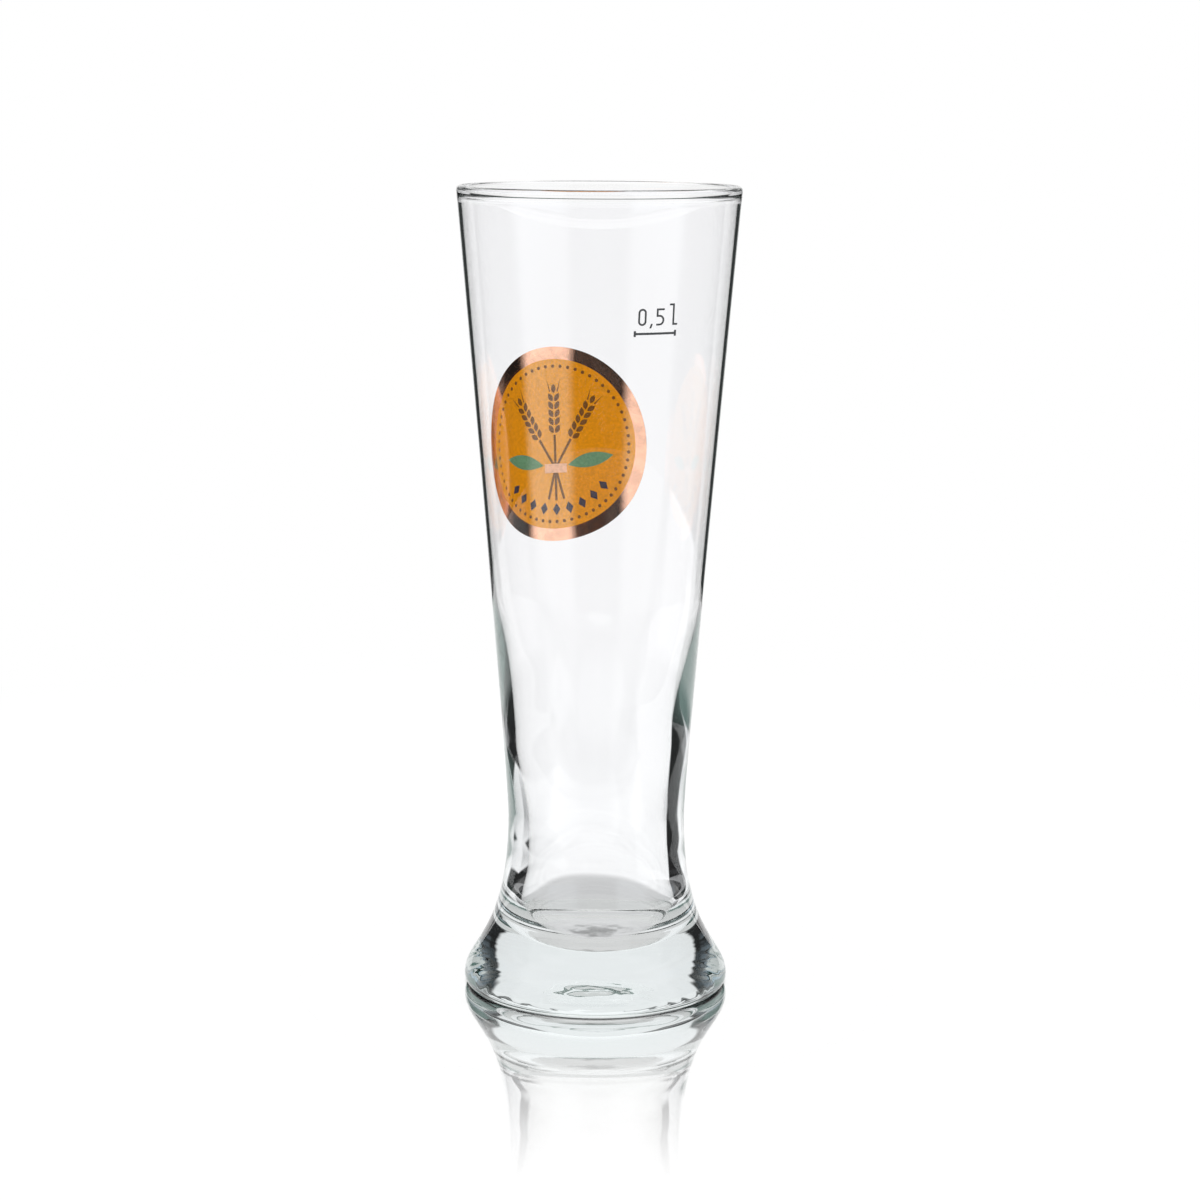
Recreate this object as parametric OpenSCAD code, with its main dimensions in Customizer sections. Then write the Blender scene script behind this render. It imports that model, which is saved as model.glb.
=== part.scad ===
// Tall wheat-beer glass: one blown glass with a heavy foot, and the layers fired onto its wall.
// Millimetres, +Z up. The origin is the middle of the circle that the glass stands on.

/* [Glass outside] */
// Overall height
glass_h = 243.5; // [225:0.5:270]
// Outside radius at the rim
rim_r = 42.3; // [39:0.1:46]
// Lean of the wall at the rim, outwards for each unit of height
rim_lean = 0.087; // [0.05:0.001:0.15]
// Outside radius at the waist, where the glass is narrowest
waist_r = 26.9; // [25:0.1:30]
// Height of the waist
waist_h = 52.8; // [48:0.1:60]
// Outside radius of the foot where it is widest
foot_r = 40.3; // [39:0.1:45]
// Height at which the foot is widest
foot_bulge_h = 3.2; // [2:0.1:6]

/* [Foot underneath] */
// Outside radius of the flat ring that the glass stands on
stand_r = 37.6; // [35:0.1:38.5]
// Width of the flat ring
stand_w = 4.5; // [2:0.1:8]
// Height of the hollow inside the ring
kick_h = 0.5; // [0.2:0.1:3]

/* [Glass inside] */
// Thickness of the wall in the upper half
wall_t = 1.15; // [0.9:0.05:1.6]
// Thickness of the wall over the waist
neck_wall_t = 4.55; // [2.5:0.05:6]
// Height at which the wall starts to thin out
neck_h = 77; // [70:1:90]
// Height at which the wall has thinned out
thin_h = 121; // [110:1:150]
// Thickness of the wall at the narrowest place inside
waist_wall_t = 6.1; // [4:0.1:8]
// Height of the narrowest place inside
cup_waist_h = 44.5; // [40:0.5:50]
// Thickness of glass under the drink, at the middle of the floor
floor_t = 11.6; // [9:0.1:14]
// Radius of the cup where it widens out over its floor
cup_floor_r = 23.4; // [19:0.1:25]
// Width of the rounding between floor and wall
corner_w = 11; // [6:0.1:14]
// Height of the rounding between floor and wall
corner_h = 13.5; // [8:0.1:15]
// Radius of the dimple in the middle of the floor
dimple_r = 7; // [3:0.1:10]
// Depth of the dimple
dimple_t = 0.4; // [0.2:0.1:1]

/* [Rim] */
// Thickness of the fire-polished bead round the rim
bead_w = 2.1; // [1.8:0.1:3]
// Height of the bead
bead_h = 2.6; // [2:0.1:4]

/* [Outline curves] */
// How far the curve of the foot keeps upright over the bulge
foot_pull = 8.6; // [5:0.1:12]
// How far the curve keeps upright under the waist
under_waist_pull = 37.4; // [25:0.1:38]
// How far the curve keeps upright over the waist
over_waist_pull = 12; // [8:0.5:20]
// How far the curve keeps to the lean of the rim
rim_pull = 60; // [20:1:90]
// How far the inside keeps upright over the corner of the floor
cup_floor_pull = 5; // [2:0.5:10]
// How far the inside keeps upright under its narrowest place
cup_waist_pull = 12; // [6:0.5:16]

/* [Badge] */
// Diameter of the round badge, measured along the wall
badge_d = 60; // [56:0.5:64]
// Distance from the rim down to the middle of the badge
badge_drop = 80.7; // [70:0.1:95]
// Angle of the badge round the glass from the front
badge_angle = 202.9; // [0:0.1:360]
// Width of the copper ring
ring_w = 3.8; // [2.5:0.1:5]
// Thickness of a fired layer
layer_t = 0.12; // [0.08:0.01:0.3]

/* [Badge motifs] */
// Radius of the circle of dots
dots_r = 24; // [23:0.1:24.5]
// Number of dots
dot_count = 60; // [30:1:72]
// Radius of one dot
dot_r = 0.55; // [0.3:0.05:0.8]
// Height of the knot of the sheaf, from the middle of the badge
knot_v = -7.5; // [-9:0.1:-5]
// Length of a stalk from the knot to its ear
stalk_l = 9.5; // [8:0.1:11]
// Width of a stalk
stalk_w = 0.8; // [0.4:0.05:1]
// Length of a stalk under the knot
tail_l = 8.5; // [5:0.1:10]
// Angle between neighbouring ears
ear_angle = 31; // [28:1:36]
// Pairs of grains in an ear
grain_pairs = 5; // [3:1:5]
// Distance between pairs of grains
grain_pitch = 2.45; // [2.2:0.05:2.5]
// Length of a grain
grain_l = 2.9; // [2:0.1:3.2]
// Width of a grain
grain_w = 1.6; // [1:0.05:1.8]
// Length of a bristle at the tip of an ear
awn_l = 4.2; // [2:0.1:5]
// Width of a bristle where it starts
awn_w = 0.45; // [0.3:0.05:0.6]
// Length of a leaf
leaf_l = 15; // [10:0.1:16]
// Width of a leaf
leaf_w = 4.4; // [2:0.1:5]
// Angle of a leaf from upright
leaf_angle = 78; // [72:1:84]
// Width of the ribbon round the sheaf
ribbon_w = 7.6; // [5:0.1:9]
// Height of the ribbon
ribbon_h = 2.8; // [2:0.1:3.5]
// Radius of the arc of lozenges under the sheaf
lozenge_arc_r = 20.2; // [19.5:0.1:20.8]
// Number of lozenges
lozenge_count = 9; // [3:2:11]
// Angle between neighbouring lozenges
lozenge_angle = 12.5; // [12:0.5:14]
// Width of a lozenge
lozenge_w = 2.6; // [1.5:0.1:3]
// Height of a lozenge
lozenge_h = 3.8; // [2:0.1:4]

/* [Fill mark] */
// Distance from the rim down to the line up to which the glass holds its measure
fill_drop = 40.6; // [30:0.1:50]
// Angle of the mark round the glass from the front
mark_angle = 24.7; // [0:0.1:360]
// Length of the line
line_w = 13.4; // [10:0.1:18]
// Thickness of the line
line_t = 0.65; // [0.4:0.05:1]
// Height of the ticks at the ends of the line
tick_h = 1.7; // [1.2:0.1:3]
// Height of the figures over the line
figure_gap = 2.3; // [1.5:0.1:4]
// Height of a figure
figure_h = 4.9; // [4:0.1:6]
// Width of a figure
figure_w = 2.5; // [2:0.1:2.8]
// Width of the strokes of the figures
stroke_w = 0.55; // [0.3:0.05:0.7]
// Height of the letter for litres
letter_h = 6.2; // [5:0.1:8]

/* [Hidden] */

// True circles for whatever turns round the axis
$fn = 128;
// Overrun of shapes that cut others
overrun = 1;
// Steps along the curves of the outline
arc_steps = 8;
curve_steps = 18;
wall_steps = 26;
// Steps round the badge and round small shapes
badge_steps = 96;
dot_steps = 12;
lens_steps = 5;
// Angle over the rim at which the rounding of the bead ends
bead_end_angle = 250;
// Clear space between neighbouring motifs
motif_gap = 0.5;
// Middles of the badge and of the fill line over the table
badge_h = glass_h - badge_drop;
fill_h = glass_h - fill_drop;
// Middles of the figures and the letter, from the middle of the line
zero_u = -4.3;
comma_u = -1.6;
five_u = 1.3;
letter_u = 5.6;
// Length of the feet of the letter
serif_w = 1.1;
// Length of the comma, and its lean as a share of the length
comma_l = 1.3;
comma_lean_share = 0.35;
// Height of the bowl of the five as a share of the figure
bowl_share = 0.62;
// Radius of the corners of the nought as a share of its width
nought_share = 0.5;

// Smooth step from 0 to 1
function ease(t) = t * t * (3 - 2 * t);
function between(a, b, t) = a + (b - a) * t;
function limited(t) = max(0, min(1, t));

// Points along a cubic curve with the four control points p
function curve_point(p, t) =
    pow(1 - t, 3) * p[0] + 3 * t * pow(1 - t, 2) * p[1] + 3 * t * t * (1 - t) * p[2] + pow(t, 3) * p[3];
function curve(p, steps) = [for (i = [0 : steps]) curve_point(p, i / steps)];

// Points along an arc of an ellipse
function arc(middle, half_w, half_h, from, to, steps) = [
    for (i = [0 : steps])
        let (a = between(from, to, i / steps))
        middle + [half_w * cos(a), half_h * sin(a)]
];
function backwards(points) = [for (i = [len(points) - 1 : -1 : 0]) points[i]];

// Outside of the glass as [radius, height], from the flat ring up to the middle of the bead
bead_middle_h = glass_h - bead_h / 2;
heel_line = arc([stand_r, foot_bulge_h], foot_r - stand_r, foot_bulge_h, -90, 0, arc_steps);
foot_line = curve([
    [foot_r, foot_bulge_h],
    [foot_r, foot_bulge_h + foot_pull],
    [waist_r, waist_h - under_waist_pull],
    [waist_r, waist_h],
], curve_steps);
body_line = curve([
    [waist_r, waist_h],
    [waist_r, waist_h + over_waist_pull],
    [rim_r - rim_lean * rim_pull, bead_middle_h - rim_pull],
    [rim_r, bead_middle_h],
], wall_steps);
outside_line = concat(
    heel_line,
    [for (i = [1 : curve_steps]) foot_line[i]],
    [for (i = [1 : wall_steps]) body_line[i]]
);
outside_table = [for (p = outside_line) [p[1], p[0]]];
function outside_r(z) = lookup(z, outside_table);

// Thickness of the wall over the narrowest place inside
function wall_at(z) = z < neck_h
    ? between(waist_wall_t, neck_wall_t, ease(limited((z - cup_waist_h) / (neck_h - cup_waist_h))))
    : between(neck_wall_t, wall_t, ease(limited((z - neck_h) / (thin_h - neck_h))));
function inside_r(z) = outside_r(z) - wall_at(z);

// Inside of the glass, from the middle of the floor up to the foot of the bead
cup_waist_r = inside_r(cup_waist_h);
corner_top_h = floor_t + dimple_t + corner_h;
bead_foot_h = glass_h - bead_h - bead_w / 4;
floor_line = [
    for (i = [0 : arc_steps])
        let (t = i / arc_steps)
        [dimple_r * t, floor_t + dimple_t * ease(t)]
];
corner_line = arc([cup_floor_r - corner_w, corner_top_h], corner_w, corner_h, -90, 0, arc_steps);
cup_line = curve([
    [cup_floor_r, corner_top_h],
    [cup_floor_r, corner_top_h + cup_floor_pull],
    [cup_waist_r, cup_waist_h - cup_waist_pull],
    [cup_waist_r, cup_waist_h],
], arc_steps);
wall_line = [
    for (i = [1 : wall_steps])
        let (z = between(cup_waist_h, bead_foot_h, i / wall_steps))
        [inside_r(z), z]
];
inside_line = concat(floor_line, corner_line, [for (i = [1 : arc_steps]) cup_line[i]], wall_line);

// Bead round the rim, from its outside over the top to its inside
bead_line = arc([rim_r - bead_w / 2, bead_middle_h], bead_w / 2, bead_h / 2, 0, bead_end_angle, curve_steps);

// Hollow under the foot, from the axis out to the flat ring
kick_line = [
    for (i = [0 : arc_steps])
        let (t = i / arc_steps)
        [(stand_r - stand_w) * t, kick_h * (1 - ease(t))]
];

// Glass, with the foot, the wall and the bead in one piece
module glass_body() {
    color([0.88, 0.93, 0.91, 0.4])
    rotate_extrude()
    polygon(concat(
        kick_line,
        outside_line,
        [for (i = [1 : curve_steps]) bead_line[i]],
        backwards(inside_line)
    ));
}

// Thin skin that lies on the outside of the wall between two heights
module skin(low, high) {
    heights = concat(
        [low],
        [for (p = outside_line) if (p[1] > low && p[1] < high) p[1]],
        [high]
    );
    rotate_extrude()
    polygon(concat(
        [for (z = heights) [outside_r(z), z]],
        [for (z = backwards(heights)) [outside_r(z) + layer_t, z]]
    ));
}

// Flat art, drawn from u along the wall and v up it, seen from the front once it is bent round
function bent(points, middle_h) = [
    for (p = points)
        let (z = middle_h + p[1], r = outside_r(z))
        [r * sin(p[0] / r * 180 / PI), z]
];
function badge_art(points) = bent(points, badge_h);
function mark_art(points) = bent(points, fill_h);

// Fired layer: flat art carried out from the axis until it meets the skin
module fired(turn, low, high) {
    intersection() {
        skin(low, high);
        rotate([0, 0, turn])
        rotate([90, 0, 0])
        linear_extrude(height = max(rim_r, foot_r) + overrun)
        children();
    }
}
module badge_layer() {
    fired(badge_angle, badge_h - badge_d / 2 - overrun, badge_h + badge_d / 2 + overrun) children();
}
module mark_layer() {
    fired(mark_angle, fill_h - tick_h - overrun, fill_h + figure_gap + letter_h + overrun) children();
}

// Outlines of the small shapes, and their placing
function disc(r, steps) = [for (i = [0 : steps - 1]) [r * cos(360 * i / steps), r * sin(360 * i / steps)]];
function lens(w, l) = concat(
    [for (i = [0 : lens_steps]) let (t = 2 * i / lens_steps - 1) [w / 2 * (1 - t * t), l / 2 * t]],
    [for (i = [1 : lens_steps - 1]) let (t = 1 - 2 * i / lens_steps) [-w / 2 * (1 - t * t), l / 2 * t]]
);
function bar(left, low, w, h) = [[left, low], [left + w, low], [left + w, low + h], [left, low + h]];
function turned(points, a) = [for (p = points) [p[0] * cos(a) - p[1] * sin(a), p[0] * sin(a) + p[1] * cos(a)]];
function moved(points, shift) = [for (p = points) p + shift];

// Places that follow the knot of the sheaf, and the angle of its grains
knot = [0, knot_v];
ear_leans = [-ear_angle, 0, ear_angle];
ear_start = ribbon_h / 2 + stalk_l;
function on_sheaf(points, lean) = moved(turned(points, lean), knot);

grain_angle = 30;
grain_shift = (grain_w + motif_gap) / 2;
ear_l = grain_pairs * grain_pitch;

// One ear: pairs of grains up the stalk, a grain at the tip and two bristles beside it
module ear(lean) {
    for (i = [0 : grain_pairs - 1], side = [-1, 1]) {
        grain = moved(
            turned(lens(grain_w, grain_l), -side * grain_angle),
            [side * grain_shift, ear_start + grain_pitch * (i + 1 / 2)]
        );
        polygon(badge_art(on_sheaf(grain, lean)));
    }
    tip = moved(lens(grain_w, grain_l), [0, ear_start + ear_l + grain_l / 2]);
    polygon(badge_art(on_sheaf(tip, lean)));
    for (side = [-1, 1]) {
        awn = moved(
            turned([[-awn_w / 2, 0], [awn_w / 2, 0], [0, awn_l]], -side * grain_angle / 2),
            [side * (grain_w / 2 + awn_w), ear_start + ear_l + motif_gap]
        );
        polygon(badge_art(on_sheaf(awn, lean)));
    }
}

module ears_art() {
    for (lean = ear_leans) ear(lean);
}

module stalks_art() {
    for (lean = ear_leans) {
        polygon(badge_art(on_sheaf(bar(-stalk_w / 2, ribbon_h / 2, stalk_w, stalk_l - motif_gap), lean)));
        polygon(badge_art(on_sheaf(bar(-stalk_w / 2, -ribbon_h / 2 - tail_l, stalk_w, tail_l), -lean / 2)));
    }
}

module leaves_art() {
    for (side = [-1, 1]) {
        leaf = moved(lens(leaf_w, leaf_l), [0, ribbon_w / 2 + motif_gap + leaf_l / 2]);
        polygon(badge_art(on_sheaf(leaf, side * leaf_angle)));
    }
}

module ribbon_art() {
    polygon(badge_art(moved(bar(-ribbon_w / 2, -ribbon_h / 2, ribbon_w, ribbon_h), knot)));
}

module dots_art() {
    for (i = [0 : dot_count - 1]) {
        a = 360 * i / dot_count;
        polygon(badge_art(moved(disc(dot_r, dot_steps), [dots_r * cos(a), dots_r * sin(a)])));
    }
}

module lozenges_art() {
    outline = [
        [lozenge_w / 2, 0],
        [0, lozenge_h / 2],
        [-lozenge_w / 2, 0],
        [0, -lozenge_h / 2],
    ];
    for (i = [0 : lozenge_count - 1]) {
        lean = (i - (lozenge_count - 1) / 2) * lozenge_angle;
        polygon(badge_art(turned(moved(outline, [0, -lozenge_arc_r]), lean)));
    }
}

// Copper ring round the badge
module copper_ring() {
    color([0.80, 0.47, 0.33])
    badge_layer()
    difference() {
        polygon(badge_art(disc(badge_d / 2, badge_steps)));
        polygon(badge_art(disc(badge_d / 2 - ring_w, badge_steps)));
    }
}

// Amber ground inside the ring, left open where the motifs lie
module amber_ground() {
    color([0.80, 0.52, 0.03])
    badge_layer()
    difference() {
        polygon(badge_art(disc(badge_d / 2 - ring_w, badge_steps)));
        dots_art();
        ears_art();
        stalks_art();
        leaves_art();
        ribbon_art();
        lozenges_art();
    }
}

module brown_dots() {
    color([0.36, 0.22, 0.10]) badge_layer() dots_art();
}

module brown_ears() {
    color([0.36, 0.22, 0.10]) badge_layer() ears_art();
}

module brown_stalks() {
    color([0.36, 0.22, 0.10])
    badge_layer()
    difference() {
        stalks_art();
        ribbon_art();
    }
}

module green_leaves() {
    color([0.42, 0.61, 0.48]) badge_layer() leaves_art();
}

module rose_ribbon() {
    color([0.96, 0.76, 0.63]) badge_layer() ribbon_art();
}

module violet_lozenges() {
    color([0.24, 0.22, 0.32]) badge_layer() lozenges_art();
}

// Line of the fill mark, with a tick at each end
module fill_line() {
    color([0.27, 0.28, 0.29])
    mark_layer()
    polygon(mark_art([
        [-line_w / 2, -tick_h / 2],
        [line_t - line_w / 2, -tick_h / 2],
        [line_t - line_w / 2, -line_t / 2],
        [line_w / 2 - line_t, -line_t / 2],
        [line_w / 2 - line_t, -tick_h / 2],
        [line_w / 2, -tick_h / 2],
        [line_w / 2, tick_h / 2],
        [line_w / 2 - line_t, tick_h / 2],
        [line_w / 2 - line_t, line_t / 2],
        [line_t - line_w / 2, line_t / 2],
        [line_t - line_w / 2, tick_h / 2],
        [-line_w / 2, tick_h / 2],
    ]));
}

// Figures of the measure, half a litre
figure_low = figure_gap;
module nought_art() {
    corner = figure_w * nought_share;
    module oval(inset) {
        r = corner - inset;
        polygon(mark_art(moved(concat(
            arc([0, figure_h / 2 - corner], r, r, 0, 180, dot_steps),
            arc([0, corner - figure_h / 2], r, r, 180, 360, dot_steps)
        ), [zero_u, figure_low + figure_h / 2])));
    }
    difference() {
        oval(0);
        oval(stroke_w);
    }
}

module comma_art() {
    polygon(mark_art(moved([
        [0, 0],
        [stroke_w, 0],
        [stroke_w - comma_l * comma_lean_share, -comma_l],
        [-comma_l * comma_lean_share, -comma_l],
    ], [comma_u, figure_low + stroke_w])));
}

module five_art() {
    left = five_u - figure_w / 2;
    bowl_h = figure_h * bowl_share;
    bowl_r = bowl_h / 2;
    bowl_w = figure_w - bowl_r;
    polygon(mark_art(moved(concat(
        [[0, 0]],
        arc([bowl_w, bowl_r], bowl_r, bowl_r, -90, 90, dot_steps),
        [[stroke_w, bowl_h], [stroke_w, figure_h - stroke_w], [figure_w, figure_h - stroke_w]],
        [[figure_w, figure_h], [0, figure_h], [0, bowl_h - stroke_w]],
        arc([bowl_w, bowl_r], bowl_r - stroke_w, bowl_r - stroke_w, 90, -90, dot_steps),
        [[0, stroke_w]]
    ), [left, figure_low])));
}

module letter_art() {
    polygon(mark_art(moved([
        [0, 0],
        [stroke_w + serif_w, 0],
        [stroke_w + serif_w, stroke_w],
        [stroke_w, stroke_w],
        [stroke_w, letter_h],
        [-serif_w, letter_h],
        [-serif_w, letter_h - stroke_w],
        [0, letter_h - stroke_w],
    ], [letter_u - stroke_w / 2, figure_low])));
}

module fill_figures() {
    color([0.27, 0.28, 0.29])
    mark_layer() {
        nought_art();
        comma_art();
        five_art();
        letter_art();
    }
}

glass_body();
copper_ring();
amber_ground();
brown_dots();
brown_ears();
brown_stalks();
green_leaves();
rose_ribbon();
violet_lozenges();
fill_line();
fill_figures();
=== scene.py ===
"""Looks of a tall half-litre weizen glass with a fired badge and a fill mark.

The packed CAD model is loaded as a fixed frame. The glass is spun from its profile, and each fired
layer is cut flat, thickened and wrapped round the wall, in the place of its CAD node.
"""

from math import atan2, cos, degrees, hypot, pi, radians, sin

import bmesh
import bpy
import numpy as np
from bpy.props import FloatProperty, FloatVectorProperty, IntProperty, PointerProperty
from mathutils import Matrix, Vector, noise


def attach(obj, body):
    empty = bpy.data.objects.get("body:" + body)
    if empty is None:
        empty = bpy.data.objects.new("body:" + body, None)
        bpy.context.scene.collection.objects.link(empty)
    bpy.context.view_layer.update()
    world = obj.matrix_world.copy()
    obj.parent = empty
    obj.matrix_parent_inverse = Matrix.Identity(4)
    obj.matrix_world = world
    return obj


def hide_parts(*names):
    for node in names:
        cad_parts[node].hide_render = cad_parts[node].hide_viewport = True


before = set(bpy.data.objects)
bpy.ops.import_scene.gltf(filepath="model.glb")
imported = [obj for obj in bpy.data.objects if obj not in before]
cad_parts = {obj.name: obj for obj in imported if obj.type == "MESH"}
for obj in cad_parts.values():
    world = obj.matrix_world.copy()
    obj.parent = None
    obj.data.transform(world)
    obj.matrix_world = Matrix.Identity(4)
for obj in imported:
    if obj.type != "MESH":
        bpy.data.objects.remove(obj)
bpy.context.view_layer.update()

bl_info = {
    "name": "Weizen glass",
    "version": (1, 0, 0),
    "blender": (4, 5, 0),
    "location": "View3D > Sidebar > Weizen glass",
    "description": "Spins a weizen glass and wraps its fired badge and fill mark round the wall",
    "category": "Object",
}

BODY = "root"
MM = 0.001


def length(name, text, default):
    """A size in millimetres, as a property that is kept in metres."""
    return FloatProperty(
        name=name, description=text, default=default * MM, min=0.0, unit="LENGTH", precision=5
    )


def angle(name, text, default):
    """An angle in degrees, as a property that is kept in radians."""
    return FloatProperty(name=name, description=text, default=radians(default), unit="ROTATION")


def share(name, text, default):
    """A share from 0 to 1."""
    return FloatProperty(
        name=name, description=text, default=default, min=0.0, max=1.0, subtype="FACTOR"
    )


def level(name, text, default):
    """A strength or a slope, from 0 up."""
    return FloatProperty(name=name, description=text, default=default, min=0.0)


def colour(name, text, default):
    """A linear colour."""
    return FloatVectorProperty(
        name=name, description=text, default=default, min=0.0, max=1.0, subtype="COLOR"
    )


def count(name, text, default):
    """A number of things."""
    return IntProperty(name=name, description=text, default=default, min=1)


class GlassSizes(bpy.types.PropertyGroup):
    """Sizes of the glass."""

    height: length("Height", "Table to the top of the bead", 243.5)
    rim_r: length("Rim radius", "Outside of the bead", 42.3)
    rim_lean: level("Rim lean", "Radius gained for each metre of height at the rim", 0.087)
    waist_r: length("Waist radius", "Narrowest outside", 26.9)
    waist_h: length("Waist height", "Height of the narrowest outside", 52.8)
    foot_r: length("Foot radius", "Widest place of the foot", 40.3)
    foot_bulge_h: length("Foot bulge height", "Height of the widest place of the foot", 3.2)
    stand_r: length("Stand radius", "Outside of the flat ring that it stands on", 37.6)
    stand_w: length("Stand width", "Width of that ring", 4.5)
    kick_h: length("Kick height", "Hollow under the foot", 0.5)
    wall_t: length("Wall", "Thickness of the wall under the bead", 1.15)
    neck_wall_t: length("Neck wall", "Thickness of the wall over the waist", 4.55)
    neck_h: length("Neck height", "Height of that thickness", 77)
    thin_h: length("Thin height", "Height over which the wall is thin", 121)
    waist_wall_t: length("Waist wall", "Thickness of the wall at the narrowest inside", 6.1)
    cup_waist_h: length("Cup waist height", "Height of the narrowest inside", 44.5)
    floor_t: length("Floor", "Thickness of the floor at its middle", 11.6)
    cup_floor_r: length("Cup floor radius", "Inside, just over the floor", 23.4)
    corner_w: length("Corner width", "Width of the rounding inside the floor", 11)
    corner_h: length("Corner height", "Height of the rounding inside the floor", 13.5)
    dimple_r: length("Dimple radius", "Dip in the middle of the floor", 7)
    dimple_t: length("Dimple", "Depth of that dip", 0.4)
    bead_w: length("Bead width", "Thickness of the bead", 2.1)
    bead_h: length("Bead height", "Height of the bead", 2.6)
    foot_pull: length("Foot pull", "Length of the foot curve's lower handle", 8.6)
    under_waist_pull: length("Under waist pull", "Length of its upper handle", 37.4)
    over_waist_pull: length("Over waist pull", "Length of the body curve's lower handle", 12)
    rim_pull: length("Rim pull", "Length of its upper handle", 60)
    cup_floor_pull: length("Cup floor pull", "Length of the cup curve's lower handle", 5)
    cup_waist_pull: length("Cup waist pull", "Length of its upper handle", 12)
    bead_end: angle("Bead end", "Angle at which the rounding of the bead ends", 250)
    segments: count("Segments", "Steps round the glass", 256)
    wave: length("Wave", "Unevenness of the inside of the wall", 0.04)
    drift: length("Drift", "How far the inside of the waist lies aside of the axis", 0.8)
    ripple: length("Ripple", "Unevenness of the floor and the underside", 0.045)


class PrintSizes(bpy.types.PropertyGroup):
    """Sizes of the fired layers."""

    badge_d: length("Badge", "Outside of the ring", 60)
    badge_drop: length("Badge drop", "Rim to the middle of the badge", 80.7)
    badge_turn: angle("Badge turn", "Angle of the badge from the front", 202.9)
    ring_w: length("Ring", "Width of the ring", 3.8)
    layer_t: length("Layer", "How far the layers stand off the wall", 0.12)
    skin_t: length("Skin", "Step between the wall, the motifs and the ground", 0.012)
    step: length("Step", "Length of the facets of a layer round the wall", 1.0)
    dots_r: length("Dots radius", "Radius of the circle of dots", 24)
    dot_count: count("Dots", "Dots in the circle", 60)
    dot_r: length("Dot radius", "Radius of one dot", 0.55)
    knot_drop: length("Knot drop", "Middle of the badge to the knot of the sheaf under it", 7.5)
    stalk_l: length("Stalk", "Length of a stalk over the knot", 9.5)
    stalk_w: length("Stalk width", "Width of a stalk", 0.8)
    tail_l: length("Tail", "Length of a stalk under the knot", 8.5)
    ear_angle: angle("Ear angle", "Lean of the outer ears", 31)
    grain_pairs: count("Grain pairs", "Pairs of grains in an ear", 5)
    grain_pitch: length("Grain pitch", "Step from one pair to the next", 2.45)
    grain_l: length("Grain length", "Length of a grain", 2.9)
    grain_w: length("Grain width", "Width of a grain", 1.6)
    grain_angle: angle("Grain angle", "Lean of a grain from its stalk", 30)
    awn_l: length("Bristle", "Length of a bristle", 4.2)
    awn_w: length("Bristle width", "Width of a bristle at its root", 0.45)
    leaf_l: length("Leaf", "Length of a leaf", 15)
    leaf_w: length("Leaf width", "Width of a leaf", 4.4)
    leaf_angle: angle("Leaf angle", "Lean of a leaf", 78)
    ribbon_w: length("Ribbon", "Width of the ribbon", 7.6)
    ribbon_h: length("Ribbon height", "Height of the ribbon", 2.8)
    lozenge_arc_r: length("Lozenge arc", "Radius of the row of lozenges", 20.2)
    lozenge_count: count("Lozenges", "Lozenges in the row", 9)
    lozenge_angle: angle("Lozenge angle", "Step from one lozenge to the next", 12.5)
    lozenge_w: length("Lozenge width", "Width of a lozenge", 2.6)
    lozenge_h: length("Lozenge height", "Height of a lozenge", 3.8)
    gap: length("Gap", "Clear space between motifs", 0.5)
    fill_drop: length("Fill drop", "Rim to the fill line", 40.6)
    mark_turn: angle("Mark turn", "Angle of the fill mark from the front", 24.7)
    line_w: length("Line", "Width of the fill line", 13.4)
    line_t: length("Line thickness", "Thickness of the fill line", 0.65)
    tick_h: length("Tick", "Height of the ticks at its ends", 1.7)
    figure_gap: length("Figure gap", "Line to the feet of the figures", 2.3)
    figure_h: length("Figure height", "Height of a figure", 4.9)
    figure_w: length("Figure width", "Width of a figure", 2.5)
    stroke_w: length("Stroke", "Width of a stroke", 0.55)
    letter_h: length("Letter height", "Height of the letter", 6.2)
    serif_w: length("Serif", "Length of the feet of the letter", 1.1)
    comma_l: length("Comma", "Length of the comma", 1.3)
    comma_lean: share("Comma lean", "Lean of the comma for its length", 0.35)
    bowl: share("Bowl", "Height of the bowl of the five for its figure", 0.62)


class Finishes(bpy.types.PropertyGroup):
    """Colours of the glass and of the fired layers."""

    glass: colour("Glass", "Colour of thick glass", (0.70, 0.87, 0.84))
    glass_density: level("Glass density", "Absorption for each metre of glass", 4.0)
    copper: colour("Copper", "Copper lustre", (0.80, 0.47, 0.33))
    amber: colour("Amber", "Ground of the badge", (0.84, 0.33, 0.002))
    brown: colour("Brown", "Dots, ears and stalks", (0.20, 0.085, 0.015))
    green: colour("Green", "Leaves", (0.15, 0.31, 0.17))
    rose: colour("Rose", "Ribbon", (0.91, 0.54, 0.355))
    violet: colour("Violet", "Lozenges", (0.055, 0.045, 0.07))
    grey: colour("Grey", "Fill mark", (0.06, 0.065, 0.07))


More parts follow.
